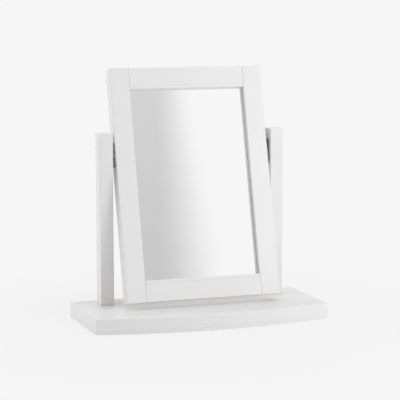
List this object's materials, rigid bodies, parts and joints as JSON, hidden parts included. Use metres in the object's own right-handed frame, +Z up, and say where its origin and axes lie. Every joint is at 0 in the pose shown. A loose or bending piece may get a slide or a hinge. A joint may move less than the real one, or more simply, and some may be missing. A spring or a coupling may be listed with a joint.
{
  "type": "vanity mirror",
  "caption": "Dressing table mirror: a framed glass that tilts between square posts on a bow-fronted base.",
  "frame": {"origin": "on the surface it stands on, under the middle of the whole mirror's box", "axes": "+Z up, -Y out of the glass towards the user, +X to the user's right"},
  "size_m": [0.6, 0.2836, 0.6222],
  "materials": {
    "painted_wood": "satin white paint",
    "mirror_glass": "polished silvered glass",
    "hardboard": "plain hardboard",
    "bare_pine": "planed",
    "beech": "plain",
    "dull_steel": "dull nickel plated",
    "zinc_steel": "zinc plated",
    "nylon": "natural",
    "felt": "pressed felt"
  },
  "bodies": {
    "stand": {"base_board": "painted_wood", "post_left": "painted_wood", "post_right": "painted_wood", "post_dowels": "beech", "post_plate_left": "dull_steel", "post_plate_right": "dull_steel", "pivot_pin_left": "dull_steel", "pivot_pin_right": "dull_steel", "post_plate_screws": "dull_steel", "spring_washers": "zinc_steel", "pivot_nuts": "zinc_steel", "base_bolts": "zinc_steel", "bolt_washers": "zinc_steel", "post_inserts": "zinc_steel", "friction_washers": "nylon", "felt_pads": "felt"},
    "mirror_frame": {"stile_left": "painted_wood", "stile_right": "painted_wood", "rail_top": "painted_wood", "rail_bottom": "painted_wood", "mirror_glass": "mirror_glass", "backing_board": "hardboard", "bead_top": "bare_pine", "bead_bottom": "bare_pine", "bead_left": "bare_pine", "bead_right": "bare_pine", "frame_dowels": "beech", "backing_screws": "zinc_steel", "frame_plate_left": "dull_steel", "frame_plate_right": "dull_steel", "frame_plate_screws": "dull_steel"}
  },
  "joints": [
    {"name": "mirror_tilt", "type": "hinge", "parent": "stand", "child": "mirror_frame", "pos_m": [0, 0.07319, 0.409], "axis": [1, 0, 0], "range_deg": [-31, 34]}
  ]
}
